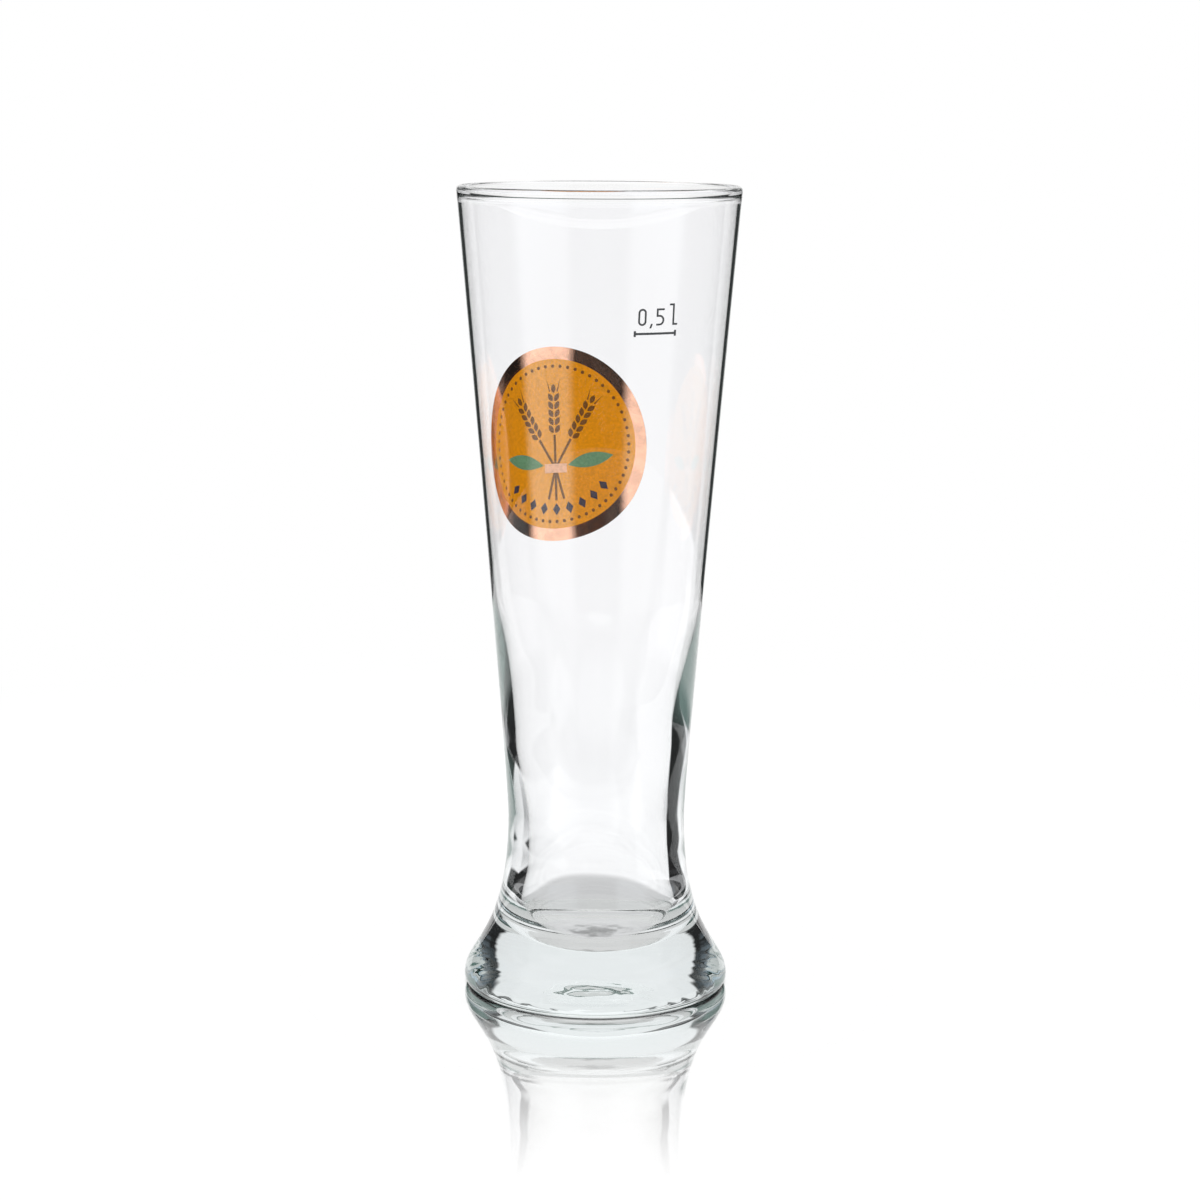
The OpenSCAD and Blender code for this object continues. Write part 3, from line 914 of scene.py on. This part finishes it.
class WEIZEN_OT_ears(MotifOperator, bpy.types.Operator):
    """Wrap the three ears of wheat round the wall"""

    bl_idname = "weizen.ears"
    bl_label = "Ears of wheat"
    cad_node = "brown_ears"
    outlines = staticmethod(ear_outlines)


class WEIZEN_OT_stalks(MotifOperator, bpy.types.Operator):
    """Wrap the stalks of the sheaf round the wall"""

    bl_idname = "weizen.stalks"
    bl_label = "Stalks"
    cad_node = "brown_stalks"
    outlines = staticmethod(stalk_outlines)


class WEIZEN_OT_leaves(MotifOperator, bpy.types.Operator):
    """Wrap the two leaves round the wall"""

    bl_idname = "weizen.leaves"
    bl_label = "Leaves"
    cad_node = "green_leaves"
    outlines = staticmethod(leaf_outlines)


class WEIZEN_OT_ribbon(MotifOperator, bpy.types.Operator):
    """Wrap the ribbon of the sheaf round the wall"""

    bl_idname = "weizen.ribbon"
    bl_label = "Ribbon"
    cad_node = "rose_ribbon"
    outlines = staticmethod(ribbon_outlines)


class WEIZEN_OT_lozenges(MotifOperator, bpy.types.Operator):
    """Wrap the row of lozenges round the wall"""

    bl_idname = "weizen.lozenges"
    bl_label = "Lozenges"
    cad_node = "violet_lozenges"
    outlines = staticmethod(lozenge_outlines)


class WEIZEN_OT_fill_mark(bpy.types.Operator):
    """Wrap the fill line and its measure round the wall"""

    bl_idname = "weizen.fill_mark"
    bl_label = "Fill mark"

    def execute(self, context):
        scene = context.scene
        p = scene.print_sizes
        material = enamel_material("mark_enamel", scene.finishes.grey, MARK_ROUGHNESS)
        line = sharpened(on_mark(scene, sheet(line_outlines(p))))
        finish_piece(context, line, "mark_line", "fill_line", material)
        figures = sheet(stroke_outlines(p))
        add_nought(figures, p)
        figures = sharpened(on_mark(scene, figures))
        finish_piece(context, figures, "mark_figures", "fill_figures", material)
        return {"FINISHED"}


# The stage.

# The floor. Pairs are where an edge begins and ends.
CARD_EDGE = 7 * MM  # half the width of a card's edge
CARD_SLOPE = 0.6  # how fast the right card's near edges run backwards
SKIRT_START_EDGE, SKIRT_END_EDGE = 30 * MM, 40 * MM
FOOT_EDGE = (-1 * MM, 0.0)  # this and the next three are from the outside of the stand ring
# Painted shadow: CONTACT_START and CONTACT_END bound the dark contact line on the floor, and
# SHADE_END, SHADE_LEVEL and SHADE_FRONT bound the painted shade before the foot.
CONTACT_START = (-0.4 * MM, 0.3 * MM)
CONTACT_END = (0.8 * MM, 3.0 * MM)
SHADE_END = (2 * MM, 10 * MM)
SHADE_LEVEL = 0.25  # share of the darkness of the contact line
SHADE_FRONT = (-32 * MM, -16 * MM)  # it lies in front of the foot only
# Painted shade under the middle of the cup: the floor's glow is darkest inside these radii, and
# noise sways the edge.
CENTRE_EDGE = (3 * MM, 12 * MM)
CENTRE_SWAY = 5 * MM  # how far noise moves that edge
CENTRE_SPOTS = 170  # to the metre
FLOOR_END = (0.5, 0.85)  # shares of its radius between which it turns into the white room
FLOOR_PAINT = (0.8, 0.8, 0.8, 1.0)
FLOOR_GLOW = 0.25
FLOOR_ROUGHNESS = 0.03

# The room. Its angles are from straight behind the glass, and its heights are the sine of the
# angle over the horizon.
OUTER_BEHIND = (radians(24), radians(32))  # the outer face mirrors white up to here,
OUTER_BEFORE = (radians(136), radians(144))  # from here on,
OUTER_ABOVE = (0.5, 0.6)  # and above here
MIRROR_FOOT = 0.14  # neither it nor the far wall mirrors white under this,
FLOOR_MIRROR_FOOT = (0.05, 0.10)  # nor the floor under this
HORIZON = (-0.02, 0.02)
SIDE_LIGHT_TOP = (-0.12, -0.06)
BASE_FROM, BASE_TOP = (radians(46), radians(52)), (0.26, 0.32)  # blue grey, in the base
BASE_BLUE = (0.74, 0.87, 1.0, 1.0)
PANEL_FOOT = (-0.25, -0.15)
MIRRORED_TOP = (0.36, 0.44)  # over this, the ceiling in the far wall is dimmer
BRIM_FROM, BRIM_FOOT = (radians(2), radians(9)), (-0.17, -0.10)


def ray_kinds(s):
    """1 for each kind of ray, by how often it was refracted and mirrored on its way.

    straight: through both walls.
    bare: off one outer face, of the glass (outer) or of what is less smooth (floor).
    mirrored: off the far wall.
    inner: bent inside one wall (single), or back from the badge (twice).
    guided: led on inside the wall, by many mirrorings.
    plain: any that meets no dark card, which are those from the camera, those on from matt
    paint and those through both walls.
    """
    path = s.node("LightPath").outputs
    passes, bounces = path["Transmission Depth"], path["Glossy Depth"]

    def more(value, limit):
        return s.math("GREATER_THAN", value, limit)

    def less(value, limit):
        return s.math("LESS_THAN", value, limit)

    through, matt = more(passes, 3.5), more(path["Diffuse Depth"], 0.5)
    straight = s.times(through, less(bounces, 0.5))
    near = s.times(more(passes, 0.5), less(passes, 3.5))
    bare, twice = less(passes, 0.5), more(passes, 7.5)
    seen = s.math("ADD", path["Is Glossy Ray"], path["Is Transmission Ray"], clamp=True)
    smooth = path["Is Singular Ray"]
    return {
        "straight": s.times(straight, s.rest(matt)),
        "plain": s.most(straight, matt, s.rest(seen)),
        "bare": bare,
        "outer": s.times(bare, smooth),
        "floor": s.times(bare, path["Is Glossy Ray"], s.rest(smooth)),
        "mirrored": s.times(through, less(passes, 7.5), less(bounces, 1.5)),
        "inner": s.times(s.most(near, twice), more(bounces, 0.5)),
        "single": s.times(near, more(bounces, 0.5)),
        "guided": s.times(near, more(bounces, 4.5)),
        "twice": twice,
    }


def white_gloss(s, g, distance):
    """The bare floor, whose mirror image fades out with the distance from the foot.

    It glows a little for the rays that show it to the camera, or to glass and metal.
    """
    path = s.node("LightPath").outputs
    seen = s.math("ADD", path["Is Camera Ray"], path["Is Glossy Ray"], clamp=True)
    seen = s.math("ADD", seen, path["Is Transmission Ray"], clamp=True)
    matt = s.get("BsdfDiffuse", {"Color": FLOOR_PAINT})
    glow = s.get("Emission", {"Strength": s.times(seen, FLOOR_GLOW)})
    gloss = s.get("BsdfGlossy", {"Roughness": FLOOR_ROUGHNESS, "Color": WHITE})
    mirror = s.fall(distance, g.mirror_near, g.mirror_far, g.mirror)
    return s.blend(mirror, s.get("AddShader", {0: matt, 1: glow}), gloss)


def floor_cards(s, g, kinds, x, y, distance):
    """1 where a ray finds a dark card on the floor, beside the glass or in front of it."""

    def past(value, at):
        return s.ramp(value, at - CARD_EDGE, at + CARD_EDGE)

    leftwards, along = s.times(x, -1.0), s.math("ABSOLUTE", y)
    left = s.times(past(leftwards, g.left_gap), past(along, g.left_behind))
    left = s.most(left, past(leftwards, g.left_wide))
    bent = s.times(s.most(s.math("SUBTRACT", x, g.right_bend), 0.0), CARD_SLOPE)
    right = past(s.math("SUBTRACT", along, bent), g.right_behind)
    right = s.times(past(x, g.right_gap), right)
    skirt = s.ramp(s.math("ABSOLUTE", x), g.skirt_from, g.skirt_from + SKIRT_START_EDGE)
    skirt = s.times(skirt, s.fall(distance, g.skirt_to, g.skirt_to + SKIRT_END_EDGE))
    beside = s.most(s.times(s.most(left, right), kinds["inner"]), s.times(skirt, kinds["outer"]))
    front = s.fall(y, -g.front_far, -g.front_near)
    return s.times(s.most(beside, front), s.rest(kinds["plain"]))


def contact_shade(s, g, y, beyond):
    """Painted shadow: darkness of the contact line round the foot, and of the painted shade before
    it.
    """
    line = s.fall(beyond, *CONTACT_END, g.contact)
    shade = s.times(s.fall(beyond, *SHADE_END, SHADE_LEVEL * g.contact), s.fall(y, *SHADE_FRONT))
    return s.times(s.ramp(beyond, *CONTACT_START), s.most(line, shade))


def floor_material(g, stand_r):
    """White gloss with dark cards, which only rays from the glass and the badge can see.

    Through the glass it glows evenly, and under the foot it glows with the grey of a painted
    shade.
    """
    m = bpy.data.materials.new("white_gloss_floor")
    s = Shader(m)
    place = s.node("TexCoord").outputs["Object"]
    x, y, _ = s.node("SeparateXYZ", {0: place}).outputs
    distance = s.node("VectorMath", {0: place}, operation="LENGTH").outputs["Value"]
    beyond = s.math("SUBTRACT", distance, stand_r)
    kinds = ray_kinds(s)
    straight, guided = kinds["straight"], kinds["guided"]

    # Painted shadow: the contact line and the shade before the foot darken the floor's diffuse
    # colour.
    contact = contact_shade(s, g, y, beyond)
    grey = s.ramp(s.math("ABSOLUTE", y), g.card_near, g.card_far, g.dark, g.card_grey)
    card = s.get("BsdfDiffuse", {"Color": s.times(grey, s.rest(contact))})
    dark = s.most(floor_cards(s, g, kinds, x, y, distance), contact)
    lit = s.blend(dark, white_gloss(s, g, distance), card)

    # Painted shade: under the foot, and through the glass, the floor glows at the level of a
    # shade. It is darkest under the middle of the cup and white far out.
    foot = s.times(s.fall(beyond, *FOOT_EDGE), s.rest(kinds["bare"]))
    sway = s.mottle(s.noise(CENTRE_SPOTS), -CENTRE_SWAY, CENTRE_SWAY)
    shade = s.ramp(s.math("ADD", distance, sway), *CENTRE_EDGE, g.centre, g.under)
    white = s.ramp(distance, g.under_near, g.under_far, 0.0, g.backdrop - g.under)
    strength = s.mix(straight, s.mix(foot, 1.0, shade), s.math("ADD", shade, white))
    hue = s.tint(guided, s.tint(straight, WHITE, opaque(g.haze)), opaque(g.guided_tint))
    glow = s.get("Emission", {"Strength": s.mix(guided, strength, g.guided), "Color": hue})
    far = s.ramp(distance, FLOOR_END[0] * g.floor_r, FLOOR_END[1] * g.floor_r)
    glowing = s.most(s.times(far, kinds["plain"]), straight, foot, guided)
    s.show(s.blend(glowing, lit, glow))
    return m


def white_ways(s, kinds, aside, z):
    """1 where a ray off the outer face, the floor or the far wall finds the white room."""
    outer = s.most(s.fall(aside, *OUTER_BEHIND), s.ramp(aside, *OUTER_BEFORE))
    outer = s.most(outer, s.ramp(z, *OUTER_ABOVE))
    white = s.most(kinds["mirrored"], s.times(kinds["bare"], outer))
    white = s.times(white, s.math("GREATER_THAN", z, MIRROR_FOOT))
    return s.most(white, s.times(kinds["floor"], s.ramp(z, *FLOOR_MIRROR_FOOT)))


def studio_world(g):
    """An even pale room.

    In reflections, it has pale panels behind and at the sides, with dark cards between.
    """
    world = bpy.data.worlds.new("soft_studio")
    s = Shader(world, "World")
    x, y, z = s.node("SeparateXYZ", {0: s.node("TexCoord").outputs["Generated"]}).outputs
    aside = s.math("ABSOLUTE", s.math("ARCTAN2", x, y))
    kinds = ray_kinds(s)
    straight, inner, guided = kinds["straight"], kinds["inner"], kinds["guided"]
    edge = g.soft_edge / 2
    wide_edge = 3 * edge

    def rise(at, half):
        return s.ramp(aside, at - half, at + half)

    def sink(at, half, end=0.0):
        return s.ramp(aside, at - half, at + half, 1.0, end)

    low, high = sink(g.low_back, edge, g.dark), sink(g.high_back, edge, g.dark)
    wide = sink(g.wide_back, wide_edge, g.dark)
    lights = s.times(rise(g.side_from, edge), sink(g.side_to, edge))
    wide = s.most(wide, s.times(lights, s.fall(z, *SIDE_LIGHT_TOP, g.side)))
    base = s.times(s.ramp(aside, *BASE_FROM), s.fall(z, *BASE_TOP), kinds["single"])
    high = s.most(high, s.times(base, g.base_grey))
    back = s.times(s.mix(s.ramp(z, *HORIZON), low, high), g.inner_level)
    back = s.mix(inner, wide, back)

    panel = s.times(rise(g.panel_from, wide_edge), sink(g.panel_to, wide_edge))
    panel = s.times(panel, s.ramp(z, *PANEL_FOOT))
    panel = s.times(panel, s.mix(kinds["twice"], g.panel, g.panel_badge))
    ceiling = s.ramp(z, sin(g.overhead - wide_edge), sin(g.overhead + wide_edge))
    studio = s.most(back, panel, ceiling)

    top = s.times(kinds["mirrored"], s.ramp(z, *MIRRORED_TOP))
    brim = s.times(s.ramp(aside, *BRIM_FROM, 0.0, g.brim), s.ramp(z, *BRIM_FOOT))
    room = s.mix(straight, s.mix(top, 1.0, g.mirrored), s.math("ADD", brim, g.backdrop))
    plain = s.most(kinds["plain"], white_ways(s, kinds, aside, z))
    hue = s.tint(s.most(straight, inner), WHITE, opaque(g.haze))
    hue = s.tint(guided, s.tint(base, hue, BASE_BLUE), opaque(g.guided_tint))
    strength = s.mix(guided, s.mix(plain, studio, room), g.guided)
    s.show(s.get("Background", {"Color": hue, "Strength": strength}))
    world.cycles.sampling_method = "NONE"
    return world


class WEIZEN_OT_stage(bpy.types.Operator):
    """Set the camera, the floor and the light"""

    bl_idname = "weizen.stage"
    bl_label = "Stage"

    def execute(self, context):
        scene = context.scene
        g = scene.stage_settings
        view = bpy.data.cameras.new("view")
        view.lens = g.lens
        view.sensor_width = 36
        view.clip_start, view.clip_end = 0.05, 20
        camera = bpy.data.objects.new("view", view)
        scene.collection.objects.link(camera)
        tilt = Matrix.Rotation(pi / 2 - g.pitch, 4, "X") @ Matrix.Rotation(g.roll, 4, "Z")
        camera.matrix_world = Matrix.Translation((g.aside, -g.distance, g.eye_h)) @ tilt
        scene.camera = camera

        bm = bmesh.new()
        bmesh.ops.create_circle(bm, cap_ends=True, segments=128, radius=g.floor_r)
        mesh = bpy.data.meshes.new("floor")
        bm.to_mesh(mesh)
        bm.free()
        mesh.materials.append(floor_material(g, scene.glass_sizes.stand_r))
        floor = bpy.data.objects.new("floor", mesh)
        scene.collection.objects.link(floor)

        scene.world = studio_world(g)
        scene.view_settings.view_transform = "Standard"
        cycles = scene.cycles
        cycles.max_bounces = 32
        cycles.transmission_bounces = 32
        cycles.glossy_bounces = 24
        cycles.diffuse_bounces = 4
        cycles.blur_glossy = 0.0
        cycles.sample_clamp_indirect = 0.0
        return {"FINISHED"}


OPERATORS = (
    WEIZEN_OT_glass,
    WEIZEN_OT_copper_ring,
    WEIZEN_OT_amber_ground,
    WEIZEN_OT_dots,
    WEIZEN_OT_ears,
    WEIZEN_OT_stalks,
    WEIZEN_OT_leaves,
    WEIZEN_OT_ribbon,
    WEIZEN_OT_lozenges,
    WEIZEN_OT_fill_mark,
    WEIZEN_OT_stage,
)
GROUPS = {
    "glass_sizes": GlassSizes,
    "print_sizes": PrintSizes,
    "finishes": Finishes,
    "stage_settings": StageSettings,
}


class WEIZEN_PT_panel(bpy.types.Panel):
    """Lists the sizes, the colours and the pieces of the glass"""

    bl_idname = "WEIZEN_PT_panel"
    bl_label = "Weizen glass"
    bl_space_type = "VIEW_3D"
    bl_region_type = "UI"
    bl_category = "Weizen glass"

    def draw(self, context):
        layout = self.layout
        for operator in OPERATORS:
            layout.operator(operator.bl_idname)
        for name, group in GROUPS.items():
            column = layout.column(align=True)
            column.label(text=group.__doc__.strip("."))
            for setting in group.__annotations__:
                column.prop(getattr(context.scene, name), setting)


CLASSES = (*GROUPS.values(), *OPERATORS, WEIZEN_PT_panel)


def register():
    for c in CLASSES:
        bpy.utils.register_class(c)
    for name, group in GROUPS.items():
        setattr(bpy.types.Scene, name, PointerProperty(type=group))


def unregister():
    for name in GROUPS:
        delattr(bpy.types.Scene, name)
    for c in reversed(CLASSES):
        bpy.utils.unregister_class(c)


def main():
    register()
    for operator in OPERATORS:
        family, name = operator.bl_idname.split(".")
        getattr(getattr(bpy.ops, family), name)()


if __name__ == "__main__":
    main()
